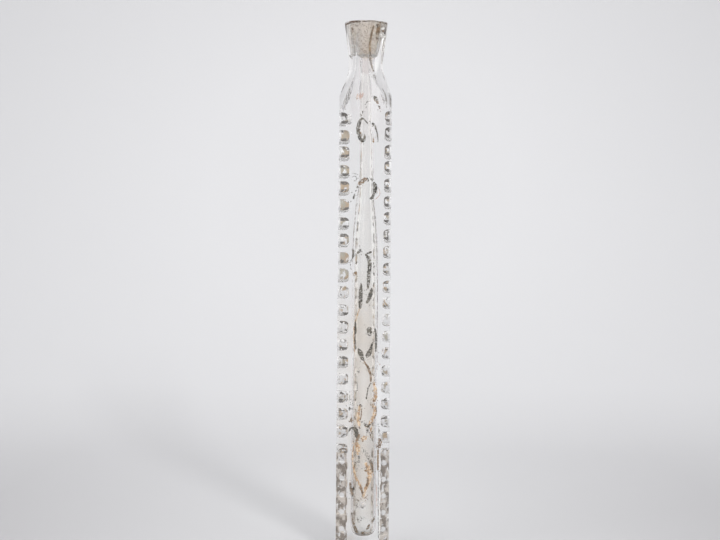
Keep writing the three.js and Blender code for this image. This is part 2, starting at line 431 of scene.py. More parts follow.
def make_glass():
    """Cuts the blank: the sides, the flutes, the bevels, the notches, the chips and the inside."""
    glass = new_object("bottle_glass", round_blank())
    cut(glass, ground_sides(), "INTERSECT")
    for cutter in flute_cutters():
        cut(glass, cutter)
    cut(glass, bevel_cutter())
    cut(glass, notch_cutter())
    for cutter in chip_cutters():
        cut(glass, cutter)
    cut(glass, inside_cutter())
    shape = bmesh.new()
    shape.from_mesh(glass.data)
    bmesh.ops.remove_doubles(shape, verts=shape.verts, dist=2e-6)
    bmesh.ops.dissolve_degenerate(shape, edges=shape.edges, dist=1e-6)
    for face in shape.faces:
        face.smooth = True
    for edge in shape.edges:
        slots = {face.material_index for face in edge.link_faces}
        limit = FLAT_LIMIT if SIDE in slots else FLUTE_LIMIT if slots & {FLUTE, TONGUE} else OTHER_LIMIT
        same = len(slots) == 1 or slots <= {NOTCH, NOTCH_END} or slots <= {HOLLOW_WALL, HOLLOW_END}
        edge.smooth = same and edge.calc_face_angle(0.0) < math.radians(limit)
    for centre, radius in BUBBLES:
        add_bubble(shape, Vector(centre) * MM, radius * MM)
    shape.to_mesh(glass.data)
    shape.free()
    return glass


def group_tree(name, inputs, outputs):
    """A shader node group with named inputs and outputs, and its two end nodes."""
    tree = bpy.data.node_groups.new(name, "ShaderNodeTree")
    for socket, kind, value in inputs:
        made = tree.interface.new_socket(socket, in_out="INPUT", socket_type=kind)
        if value is not None:
            made.default_value = value
    for socket, kind in outputs:
        tree.interface.new_socket(socket, in_out="OUTPUT", socket_type=kind)
    return tree, tree.nodes.new("NodeGroupInput"), tree.nodes.new("NodeGroupOutput")


def add_noise(tree, coordinates, scale, detail=4.0, distortion=0.0):
    node = tree.nodes.new("ShaderNodeTexNoise")
    node.inputs["Scale"].default_value = scale
    node.inputs["Detail"].default_value = detail
    node.inputs["Distortion"].default_value = distortion
    tree.links.new(coordinates, node.inputs["Vector"])
    return node.outputs["Fac"]


def add_math(tree, operation, first, second=None):
    node = tree.nodes.new("ShaderNodeMath")
    node.operation = operation
    for i, value in enumerate((first, second)):
        if value is None:
            continue
        if isinstance(value, (int, float)):
            node.inputs[i].default_value = value
        else:
            tree.links.new(value, node.inputs[i])
    return node.outputs[0]


def times(tree, first, second):
    return add_math(tree, "MULTIPLY", first, second)


def add_range(tree, value, low, high, to_low=0.0, to_high=1.0):
    node = tree.nodes.new("ShaderNodeMapRange")
    tree.links.new(value, node.inputs["Value"])
    ends = {"From Min": low, "From Max": high, "To Min": to_low, "To Max": to_high}
    for socket, number in ends.items():
        node.inputs[socket].default_value = number
    return node.outputs["Result"]


def add_band(tree, value, low, high, soft=0.0015):
    """1 between low and high, falling to 0 outside them."""
    rising = add_range(tree, value, low - soft, low + soft)
    return times(tree, rising, add_range(tree, value, high + soft, high - soft))


def add_mix(tree, factor, first, second):
    node = tree.nodes.new("ShaderNodeMix")
    node.data_type = "RGBA"
    tree.links.new(factor, node.inputs["Factor"])
    for socket, value in ((6, first), (7, second)):
        if isinstance(value, tuple):
            node.inputs[socket].default_value = (*value, 1.0)
        else:
            tree.links.new(value, node.inputs[socket])
    return node.outputs[2]


def add_span(tree, first, second):
    """The distance that two steps at a right angle make."""
    squares = [add_math(tree, "POWER", add_math(tree, "ABSOLUTE", step), 2.0) for step in (first, second)]
    return add_math(tree, "SQRT", add_math(tree, "ADD", *squares))


def axes(tree, vector):
    """The X, Y and Z of a vector, by name."""
    node = tree.nodes.new("ShaderNodeSeparateXYZ")
    tree.links.new(vector, node.inputs[0])
    return node.outputs


def smear_group():
    """Handling marks: thin, mostly upright smears and fine dust, as a mask and a height."""
    tree, start, end = group_tree(
        "handling_marks",
        [("Coordinates", "NodeSocketVector", None), ("Amount", "NodeSocketFloat", 0.5)],
        [("Mask", "NodeSocketFloat"), ("Height", "NodeSocketFloat")],
    )
    stretch = tree.nodes.new("ShaderNodeMapping")
    stretch.inputs["Scale"].default_value = (1.0, 1.0, 0.3)
    tree.links.new(start.outputs["Coordinates"], stretch.inputs["Vector"])
    broad = add_noise(tree, stretch.outputs[0], 180, 5.0, 0.6)
    fine = add_noise(tree, start.outputs["Coordinates"], 2600, 3.0)
    streaks = add_range(tree, broad, 0.5, 0.75)
    dust = add_range(tree, fine, 0.62, 0.72)
    both = add_math(tree, "MAXIMUM", streaks, dust)
    tree.links.new(times(tree, both, start.outputs["Amount"]), end.inputs["Mask"])
    height = add_math(tree, "ADD", broad, times(tree, fine, 0.15))
    tree.links.new(height, end.inputs["Height"])
    return tree


def blotch_group():
    """Uneven dirt: a mask that covers more as Cover rises."""
    tree, start, end = group_tree(
        "uneven_dirt",
        [("Coordinates", "NodeSocketVector", None), ("Cover", "NodeSocketFloat", 0.5),
         ("Scale", "NodeSocketFloat", 700.0)],
        [("Mask", "NodeSocketFloat")],
    )
    node = tree.nodes.new("ShaderNodeTexNoise")
    node.inputs["Detail"].default_value = 6.0
    node.inputs["Distortion"].default_value = 0.5
    tree.links.new(start.outputs["Coordinates"], node.inputs["Vector"])
    tree.links.new(start.outputs["Scale"], node.inputs["Scale"])
    edge = add_math(tree, "SUBTRACT", 1.0, start.outputs["Cover"])
    over = add_math(tree, "SUBTRACT", node.outputs["Fac"], add_range(tree, edge, 0.0, 1.0, 0.25, 0.72))
    tree.links.new(add_range(tree, over, -0.03, 0.05), end.inputs["Mask"])
    return tree


def use_group(tree, group, **values):
    node = tree.nodes.new("ShaderNodeGroup")
    node.node_tree = group
    for name, value in values.items():
        if isinstance(value, (int, float)):
            node.inputs[name].default_value = value
        else:
            tree.links.new(value, node.inputs[name])
    return node.outputs


def material(name, **constants):
    """A material with a Principled shader. constants are plain values on its sockets."""
    made = bpy.data.materials.new(name)
    made.use_nodes = True
    shader = made.node_tree.nodes["Principled BSDF"]
    for socket, value in constants.items():
        shader.inputs[socket.replace("_", " ")].default_value = value
    place = made.node_tree.nodes.new("ShaderNodeTexCoord").outputs["Object"]
    return made, made.node_tree, shader, place


def glass_material(name, clear=1.0):
    """Glass of which the given share lets light pass."""
    return material(name, Metallic=0.0, Transmission_Weight=clear, IOR=1.5)


def paint(tree, shader, colour, mask, smooth, rough, low=0.0, high=1.0):
    """Links the colour, and a roughness from smooth to rough as the mask goes from low to high."""
    tree.links.new(colour, shader.inputs["Base Color"])
    tree.links.new(add_range(tree, mask, low, high, smooth, rough), shader.inputs["Roughness"])


def add_bump(tree, shader, height, strength, distance, worn_edge=0.0):
    """A bump, over edges that look rounded off by worn_edge."""
    node = tree.nodes.new("ShaderNodeBump")
    if worn_edge:
        rounded = tree.nodes.new("ShaderNodeBevel")
        rounded.samples = 6
        rounded.inputs["Radius"].default_value = worn_edge
        tree.links.new(rounded.outputs["Normal"], node.inputs["Normal"])
    node.inputs["Strength"].default_value = strength
    node.inputs["Distance"].default_value = distance
    tree.links.new(height, node.inputs["Height"])
    tree.links.new(node.outputs["Normal"], shader.inputs["Normal"])


SMEARS = smear_group()
DIRT = blotch_group()


def patches(tree, place, cover, scale):
    """The mask of the uneven dirt."""
    return use_group(tree, DIRT, Coordinates=place, Cover=cover, Scale=scale)["Mask"]


def clear_glass(name, worn_edge):
    """Polished glass with handling marks, and a faint warm film low down on the left."""
    made, tree, shader, place = glass_material(name)
    marks = use_group(tree, SMEARS, Coordinates=place, Amount=1.0)
    colour = add_mix(tree, marks["Mask"], (0.99, 0.99, 0.985), (0.94, 0.93, 0.91))
    at = axes(tree, place)
    low = add_range(tree, at["Z"], 0.084, 0.072)
    left = add_range(tree, at["X"], 0.0, -0.0035)
    film = patches(tree, place, 0.6, 140.0)
    warm = times(tree, film, times(tree, low, left))
    colour = add_mix(tree, warm, colour, (0.945, 0.915, 0.875))
    paint(tree, shader, colour, marks["Mask"], 0.0, 0.09)
    add_bump(tree, shader, add_noise(tree, place, 150, 1.0), 0.08, 0.001, worn_edge)
    return made


def hollow_wall():
    """The inside of the hollow, with a thin film that dried on it."""
    made, tree, shader, place = glass_material("hollow_wall")
    at = axes(tree, place)
    over_floor = add_range(tree, at["Z"], 0.009, 0.021)
    low = times(tree, add_range(tree, at["Z"], 0.09, 0.07), over_floor)
    film = patches(tree, place, 0.5, 190.0)
    clean = add_mix(tree, low, (0.99, 0.985, 0.97), (0.94, 0.90, 0.85))
    stained = add_mix(tree, low, (0.985, 0.97, 0.95), (0.92, 0.86, 0.79))
    paint(tree, shader, add_mix(tree, film, clean, stained), film, 0.10, 0.2)
    add_bump(tree, shader, add_noise(tree, place, 300, 2.0), 0.1, 0.0006)
    return made


def throat_wall():
    """The narrow throat, with a milky film and a few specks."""
    made, tree, shader, place = glass_material("throat_wall", 0.97)
    film = patches(tree, place, 0.6, 300.0)
    specks = patches(tree, place, 0.12, 1500.0)
    milky = add_mix(tree, film, (1.0, 0.98, 0.97), (0.99, 0.95, 0.935))
    paint(tree, shader, add_mix(tree, specks, milky, (0.50, 0.42, 0.38)), film, 0.22, 0.34)
    add_bump(tree, shader, add_noise(tree, place, 900, 2.0), 0.15, 0.0003)
    return made


def crust(name, pale, dark, clear, dull):
    """Dried dirt that settled where the inside narrows. clear is how much light still passes."""
    made, tree, shader, place = glass_material(name, clear)
    dirt = patches(tree, place, 0.42, 420.0)
    paint(tree, shader, add_mix(tree, dirt, pale, dark), dirt, dull, 0.9)
    add_bump(tree, shader, add_noise(tree, place, 1500, 3.0), 0.4, 0.0002)
    return made


def tongue_glass():
    """The long front and back flutes, with a faint warm film."""
    made, tree, shader, place = glass_material("tongue_glass")
    film = patches(tree, place, 0.6, 190.0)
    colour = add_mix(tree, film, (0.99, 0.98, 0.975), (0.975, 0.955, 0.945))
    paint(tree, shader, colour, film, 0.01, 0.1)
    add_bump(tree, shader, add_noise(tree, place, 200, 2.0), 0.1, 0.0008, 0.0005)
    return made


# Clean spots on the foot bevels: the height of one and the pitch, on the left and on the right
SPOTS = ((0.02876, 0.00517), (0.0234, 0.00512))
# How far the spots lie from the middle, and the radii where the crust starts and is full
SPOT_ASIDE = 0.0064
SPOT_RADII = (0.00068, 0.0009)


def bevel_glass():
    """The bevels at the foot: brown-grey over most of them, broken by clean round spots at even heights.
    """
    made, tree, shader, place = glass_material("bevel_glass")
    at = axes(tree, place)
    rises = []
    for first, pitch in SPOTS:
        over = add_math(tree, "SUBTRACT", at["Z"], first)
        rises.append(add_math(tree, "PINGPONG", over, pitch / 2))
    on_right = add_math(tree, "GREATER_THAN", at["X"], 0.0)
    difference = add_math(tree, "SUBTRACT", rises[1], rises[0])
    rise = add_math(tree, "ADD", rises[0], times(tree, difference, on_right))
    aside = add_math(tree, "SUBTRACT", add_math(tree, "ABSOLUTE", at["X"]), SPOT_ASIDE)
    around = add_range(tree, add_span(tree, rise, aside), *SPOT_RADII)
    brown_grey_cover = times(tree, patches(tree, place, 0.72, 620.0), around)
    tints = add_range(tree, add_noise(tree, place, 430, 5.0), 0.45, 0.56)
    stain = add_mix(tree, tints, (0.13, 0.10, 0.075), (0.70, 0.60, 0.50))
    paint(tree, shader, add_mix(tree, brown_grey_cover, (0.985, 0.985, 0.98), stain), brown_grey_cover, 0.0, 0.25)
    add_bump(tree, shader, add_noise(tree, place, 1200, 3.0), 0.3, 0.0004)
    return made


# The inner edge of the notches, where a dark line of painted shade runs: how far from the middle at the
# foot, how much farther for each metre up, and how much less both are on the left
INNER_EDGE = 0.00527
INNER_LEAN = 0.00585
LEFT_EDGE_LESS = 0.00058
LEFT_LEAN_LESS = 0.00462
# The two stretches of the left notches with more brown dirt, and how much more
BROWN_STRETCHES = ((0.104, 0.133), (0.084, 0.096))
BROWN_MORE = 0.24


def notch_glass(name, end_dirt_and_shade):
    """The polished notches, with grime and painted shade darkening their ends, a painted dark line of
    shade along their inner edge, and brown dirt on their floors.
    """
    made, tree, shader, place = glass_material(name)
    at = axes(tree, place)
    near_foot = add_range(tree, at["Z"], 0.0315, 0.0325, 0.66, 0.42)
    side = add_math(tree, "ABSOLUTE", at["X"])
    inward = add_range(tree, side, 0.0078, 0.0073)
    on_left = add_math(tree, "LESS_THAN", at["X"], 0.0)
    stretches = [add_band(tree, at["Z"], low, high) for low, high in BROWN_STRETCHES]
    more = times(tree, add_math(tree, "MAXIMUM", *stretches), on_left)
    more = times(tree, more, BROWN_MORE)
    brown = patches(tree, place, add_math(tree, "ADD", near_foot, more), 560.0)
    # How dark the ends get: grime, with the shade of the curved ends painted in, more of it higher up
    cover = add_range(tree, at["Z"], 0.075, 0.100, end_dirt_and_shade - 0.27, end_dirt_and_shade)
    uneven = add_range(tree, add_noise(tree, place, 130, 1.0), 0.38, 0.62, -0.28, 0.15)
    cover = add_math(tree, "ADD", cover, uneven)
    cover = add_math(tree, "SUBTRACT", cover, times(tree, more, 1.1))
    grime = patches(tree, place, cover, 800.0)
    # A dark line along the notches' inner edge: painted shade
    line = patches(tree, place, add_math(tree, "ADD", cover, 0.1), 500.0)
    lean = add_math(tree, "SUBTRACT", INNER_LEAN, times(tree, on_left, LEFT_LEAN_LESS))
    edge = add_math(tree, "SUBTRACT", INNER_EDGE, times(tree, on_left, LEFT_EDGE_LESS))
    inner = add_math(tree, "ADD", times(tree, at["Z"], lean), edge)
    beyond = add_math(tree, "SUBTRACT", side, inner)
    inner_edge_shade = times(tree, line, add_range(tree, beyond, 0.0006, 0.0002))
    tints = add_range(tree, add_noise(tree, place, 260, 3.0), 0.44, 0.58)
    stain = add_mix(tree, tints, (0.32, 0.28, 0.20), (0.40, 0.25, 0.13))
    browned = times(tree, brown, inward)
    colour = add_mix(tree, browned, (0.985, 0.985, 0.98), stain)
    grime_and_edge_shade = times(tree, add_math(tree, "MAXIMUM", grime, inner_edge_shade), inward)
    colour = add_mix(tree, grime_and_edge_shade, colour, (0.05, 0.044, 0.038))
    paint(tree, shader, colour, brown, 0.02, 0.3)
    add_bump(tree, shader, add_noise(tree, place, 900, 2.0), 0.25, 0.0004)
    return made


def ground_glass():
    """The frosted socket, with grey specks ground into it and a brown stain near the chip."""
    made, tree, shader, place = glass_material("ground_glass", 0.8)
    specks = patches(tree, place, 0.38, 2100.0)
    clouds = add_noise(tree, place, 420, 4.0)
    beige = add_mix(tree, add_range(tree, clouds, 0.35, 0.65), (0.995, 0.94, 0.865), (0.95, 0.86, 0.76))
    at = axes(tree, place)
    on_right = add_range(tree, at["X"], 0.0014, 0.004)
    near_chip = times(tree, on_right, add_range(tree, at["Z"], 0.1555, 0.1585))
    stained = times(tree, near_chip, add_range(tree, clouds, 0.3, 0.55))
    beige = add_mix(tree, stained, beige, (0.80, 0.66, 0.50))
    colour = add_mix(tree, specks, beige, (0.40, 0.33, 0.26))
    paint(tree, shader, colour, clouds, 0.42, 0.6, 0.3, 0.7)
    add_bump(tree, shader, add_noise(tree, place, 5000, 2.0), 0.35, 0.0001)
    return made


def dirty_rim():
    """The rim's rounded edge, under dark dirt."""
    made, tree, shader, place = glass_material("dirty_rim", 0.35)
    dirt = patches(tree, place, 0.62, 320.0)
    colour = add_mix(tree, dirt, (0.62, 0.54, 0.47), (0.10, 0.06, 0.045))
    paint(tree, shader, colour, dirt, 0.35, 0.75)
    add_bump(tree, shader, add_noise(tree, place, 3000, 3.0), 0.4, 0.0002)
    return made


def fracture():
    """Bright broken glass with ripples."""
    made, tree, shader, place = glass_material("chipped_glass")
    ripple = add_noise(tree, place, 1400, 3.0, 1.5)
    stain = add_mix(tree, add_range(tree, ripple, 0.5, 0.7), (0.95, 0.95, 0.93), (0.55, 0.40, 0.22))
    paint(tree, shader, stain, ripple, 0.0, 0.12, 0.3, 0.7)
    add_bump(tree, shader, ripple, 0.9, 0.0006)
    return made


# Gilding, dirt, painted shade and painted light: two colours, how metallic, how much is left, the size of
# the wear, opacity
TONES = {
    # Worn gold painted near-black: its dark reflection of the room, painted
    "tarnish": ((0.05, 0.046, 0.04), (0.17, 0.155, 0.125), 0.2, 0.62, 2700.0, 0.9),
    "brown": ((0.13, 0.085, 0.05), (0.30, 0.20, 0.12), 0.2, 0.6, 2700.0, 0.85),
    # Worn gold painted ochre where it catches the light: painted light on the gold's colour
    "ochre": ((0.36, 0.22, 0.12), (0.72, 0.57, 0.41), 0.15, 0.62, 2300.0, 0.8),
    "grey": ((0.12, 0.125, 0.12), (0.30, 0.28, 0.25), 0.1, 0.46, 2800.0, 0.85),
    "faded": ((0.42, 0.30, 0.255), (0.60, 0.50, 0.45), 0.05, 0.58, 2300.0, 0.75),
    # Grime, and dark lines of painted shade along edges
    "grime": ((0.06, 0.038, 0.024), (0.24, 0.165, 0.11), 0.0, 0.6, 2400.0, 0.85),
    # A dark line of painted shade along a ridge of the neck
    "ridge": ((0.13, 0.085, 0.05), (0.34, 0.25, 0.17), 0.0, 0.66, 2400.0, 0.8),
    # Its softer continuation down the ridge, also painted shade
    "haze": ((0.15, 0.125, 0.10), (0.36, 0.31, 0.26), 0.0, 0.66, 2400.0, 0.66),
    # Thin dark lines of painted shade along edges seen in the glass
    "smoke": ((0.16, 0.15, 0.14), (0.36, 0.34, 0.32), 0.0, 0.55, 2400.0, 0.75),
    "residue": ((0.24, 0.165, 0.10), (0.50, 0.39, 0.28), 0.0, 0.6, 2100.0, 0.9),
    # Crushed glass, and a pale line of painted highlight along an edge
    "crushed": ((0.62, 0.60, 0.56), (0.78, 0.77, 0.75), 0.0, 0.6, 2600.0, 0.9),
}


def thin_layer(name, tone):
    """One tone, for worn gilding, dirt, painted shade and painted light alike: patchy, with the clear
    glass showing where it is gone.
    """
    first, second, metal, left, wear, opacity = tone
    made, tree, shader, place = material(name, Metallic=metal, Roughness=0.4)
    clouds = add_noise(tree, place, 1100, 4.0, 0.8)
    colour = add_mix(tree, add_range(tree, clouds, 0.42, 0.62), first, second)
    paint(tree, shader, colour, clouds, 0.28, 0.6, 0.3, 0.7)
    cover = patches(tree, place, left, wear)
    tree.links.new(times(tree, cover, opacity), shader.inputs["Alpha"])
    add_bump(tree, shader, clouds, 0.3, 0.00005)
    return made


glass = make_glass()
polished = clear_glass("clear_glass", 0.00022)
# In the order of the material slots
for made in (
    polished,
    ground_glass(),
    crust("ledge_crust", (1.0, 0.97, 0.93), (0.96, 0.89, 0.80), 0.0, 0.6),
    throat_wall(),
    dirty_rim(),
    notch_glass("notch_floor", 0.3),
    notch_glass("notch_end", 0.78),
    fracture(),
    hollow_wall(),
    crust("hollow_end_crust", (0.985, 0.98, 0.965), (0.80, 0.70, 0.58), 0.9, 0.3),
    clear_glass("worn_flutes", 0.0006),
    tongue_glass(),
    polished,
    bevel_glass(),
):
    glass.data.materials.append(made)
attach(glass, "root")
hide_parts("bottle")


def strokes_from(table):
    """Strokes from a table: a tone, then x, z and width in millimetres for each of its points."""
    strokes = []
    for word in table.replace(",", " ").split():
        if word in TONES:
            strokes.append((word, []))
        else:
            strokes[-1][1].append(float(word))
    return [(tone, [tuple(row[i:i + 3]) for i in range(0, len(row), 3)]) for tone, row in strokes]


# What is left of the gilt scrollwork on the front, with the gold's dark reflection and the light it
# catches painted into its tones
SCROLLWORK = strokes_from("""
faded -2.9 141.3 1, -2.1 141.5 1.9, -1.2 142.3 1.2, -0.8 142.8 0.6
brown -2.9 141 0.5, -2.5 140.8 0.7
tarnish 2.3 141.75 0.46, 3.1 140.95 1.23, 3.7 140.25 0.92
brown 2.6 140.85 0.62, 3.4 140.05 0.92, 4 139.25 0.46
tarnish -0.2 138.95 0.28, 0.7 140.15 0.4
tarnish -0.9 137.15 0.37, -0.8 136.05 0.37
grime 3.9 138.85 0.3, 4.2 138.35 0.62, 4.5 137.65 0.4
tarnish -0.8 134.95 0.49, -1.6 134.05 0.92, -2.1 132.65 1.11, -2.3 131.15 1.05, -2 129.75 0.99,
    -1.4 128.35 1.05, -0.6 127.85 0.99, -0.2 128.75 0.74, -0.3 129.85 0.43
brown -1.8 132.95 0.43, -1.8 130.75 0.49, -1.1 129.15 0.74
tarnish -0.8 134.85 0.37, 0 134.05 0.4, 0.8 133.05 0.31
tarnish 2.1 133.45 0.74, 2.8 132.45 0.68, 3.4 131.15 0.46, 3.8 129.25 0.46, 3.9 127.45 0.37
brown 2.5 128.75 0.37, 2.6 127.25 0.55
brown -2.1 114.15 0.8, -1.2 114.95 1.23, -0.3 115.65 1.36, 0.6 116.15 0.99
tarnish 0.6 116.65 0.37, 1.2 115.35 0.49
tarnish 1.8 116.35 0.68, 2.3 115.35 0.68
tarnish 2.7 115.15 0.8, 3.1 113.55 0.99, 2.9 111.95 0.92, 2.4 110.55 0.86, 1.6 109.75 0.74
tarnish 3.4 114.75 0.28, 3.7 113.35 0.34, 3.4 111.65 0.28
faded 4 113.45 0.28, 4.6 112.25 0.28, 4.4 110.85 0.28, 3.2 109.75 0.25
tarnish -2 114.15 0.68, -2.4 113.15 0.68
tarnish -2.6 112.65 0.49, -2.9 111.95 0.49
tarnish -3.1 111.45 0.43, -3.5 109.75 0.62
grey -4.3 117.35 0.25, -3.4 117.65 0.31, -2 117.25 0.25
grey -4 116.45 0.28, -3.2 116.95 0.34, -2.6 116.45 0.28, -2.7 115.65 0.28, -3.5 115.35 0.34
grey -3 97.65 0.25, -2.3 95.75 0.4
tarnish -3.4 94.25 0.49, -3.4 92.65 0.74, -3.7 91.55 0.49
grey -3.7 91.55 0.28, -4.2 90.15 0.25, -4.2 88.05 0.25
tarnish -2.3 92.95 0.55, -1.6 93.65 0.92, -1 94.35 0.55
tarnish 0.7 93.05 0.55, 1.6 93.35 0.74, 2.3 93.55 0.55
tarnish 0.3 92.95 0.49, 1.1 91.85 0.99, 1.6 90.35 1.23, 1.6 88.25 1.23, 1.4 86.05 1.11, 1.3 83.65 0.86,
    1.1 82.05 0.62
brown -3.2 87.15 0.74, -2.8 86.85 1.6, -2.3 86.55 0.62
grey 2.8 91.35 0.25, 2.9 88.85 0.25
tarnish -0.8 83.75 0.43, -1 81.95 1.05, -1 79.95 1.29, -1.1 77.75 1.11, -1.3 75.95 0.49
tarnish 2.3 82.45 0.62, 2 80.55 1.23, 1.5 79.05 1.23, 0.7 77.55 0.49
ochre -1.3 75.95 0.31, -2 74.05 0.43, -2.5 72.15 0.43
tarnish -2.6 72.55 0.37, -2.6 70.05 0.68, -2.7 66.95 0.62, -2.6 63.55 0.37
ochre -3 70.65 0.31, -3 66.95 0.31, -2.8 62.65 0.25
tarnish 1.7 70.35 1.54, 1.8 69.15 1.66, 1.9 67.65 0.86
tarnish 3.4 70.05 0.55, 3.7 68.05 0.59, 3.8 65.25 0.59, 3.7 62.75 0.37
tarnish -1.7 63.75 0.55, -0.9 62.35 1.54, -0.4 60.95 1.23, 0 59.85 0.31
tarnish 2.9 65.95 0.37, 2.3 64.05 0.92, 1.6 62.15 1.54, 0.8 61.05 0.74
brown 0 60.05 0.37, 0.9 58.75 0.62, 1.6 57.45 0.86, 2.2 55.65 0.62, 2.4 53.55 0.8
tarnish 2.3 53.25 0.37, 1.5 51.35 0.31, 0.9 48.15 0.43
ochre 3.2 53.25 0.37, 3.7 51.25 0.92, 3.8 49.15 1.05, 3.3 47.25 0.74
brown 3 47.55 0.68, 3.8 47.75 0.55
grey -1.3 57.85 0.31, -1.5 56.05 0.43
grey -2 53.95 0.28, -1.8 50.65 0.28
grey -4.1 49.55 0.28, -4.2 47.85 0.31, -3.8 46.85 0.31
tarnish -4.2 45.75 0.62, -4.1 44.65 0.74
brown -3.7 42.55 0.62, -3.6 40.95 0.74
ochre -1 46.35 0.62, -1.4 44.15 0.92, -1.5 41.75 0.99, -1 39.65 0.62
tarnish -1.1 46.55 0.55, -0.7 45.75 0.49
brown -0.5 45.25 0.28, -0.5 43.55 0.28, -0.9 41.75 0.31
ochre 3.2 46.35 0.62, 3.6 44.75 0.99, 3.1 42.65 0.99, 2.3 40.95 0.92, 1.4 39.75 0.49
brown 3.9 46.15 0.31, 4.1 44.45 0.34, 3.6 42.25 0.31
tarnish 0.1 40.75 0.43, 1.3 39.95 0.92, 2.5 40.65 0.43
tarnish -4.4 38.05 0.37, -4 38.85 0.68, -3 39.25 0.92, -2.1 38.45 1.23, -1.9 37.05 1.05, -1.8 36.05 0.49
tarnish 1.2 39.15 0.74, 1.5 38.25 0.74
ochre -0.5 35.85 0.92, 0.5 36.15 1.29, 1.1 36.65 0.62
brown 2.2 37.55 0.37, 2.5 36.15 0.49
ochre 2.6 39.85 0.43, 2.4 38.15 0.49
brown -1 37.35 0.68, -1.7 35.85 0.8, -2.2 34.65 0.62
ochre -2 34.85 1.05, -1.5 32.95 1.48, -1.6 30.95 0.8
ochre -2.6 34.65 0.31, -3 32.45 0.37, -3.2 30.25 0.4, -2.9 28.05 0.49, -2.6 25.85 0.62, -1.9 23.65 0.74,
    -0.8 21.75 0.68, -0.2 20.75 0.43
tarnish -2.6 28.25 0.55, -2.5 27.25 0.68
grey -1.2 30.95 0.62, -1.2 29.05 0.68, -1.3 27.45 0.49
grey -0.2 33.35 0.37, 0.4 31.75 0.49
grey 0.7 31.75 0.92, 1.5 30.75 1.17, 2.4 28.85 1.11, 3.3 25.85 0.62
brown 0.6 26.35 0.62, 1.5 26.15 0.8
ochre 0.8 28.65 0.92, 1.8 26.75 1.42, 2.2 24.25 1.36, 1.6 21.95 1.05, 0.8 20.15 0.92, 0.3 17.95 0.62
brown 1.7 23.95 0.55, 1.5 21.95 0.68, 1.2 21.05 0.43
brown -0.6 21.55 0.49, -0.2 19.85 0.62, 0.1 17.95 0.37
grey -3.7 21.85 0.92, -3.3 19.85 1.42, -2.8 17.45 0.99
tarnish -2.8 21.05 0.43, -2.7 20.05 0.55
brown -3.9 22.5 0.6, -3.5 20.5 0.9, -3 18.3 0.6
brown 2.2 29.5 0.5, 2.9 27.5 0.7, 3.1 25.5 0.5
brown -1.6 17.2 0.35, -1.2 16.6 0.3
brown 0.6 17.6 0.35, 1.3 18.2 0.35
tarnish -2 15.15 0.31, -1.5 16.05 0.4
tarnish -1.6 11.25 0.31, -1.4 10.65 0.31
grey 0.2 11.55 0.31, 0.4 11.15 0.31
grey 4.9 40.05 0.43, 5 37.55 0.55
brown 5 36.15 0.99, 5.2 34.65 1.17, 4.8 33.05 0.74
brown 4.7 33.05 0.55, 4.7 29.95 0.62, 4.7 26.15 0.49
faded 4.3 21.95 0.31, 4.5 14.55 0.31
faded 5 59.15 0.37, 5.1 58.65 0.37
""")

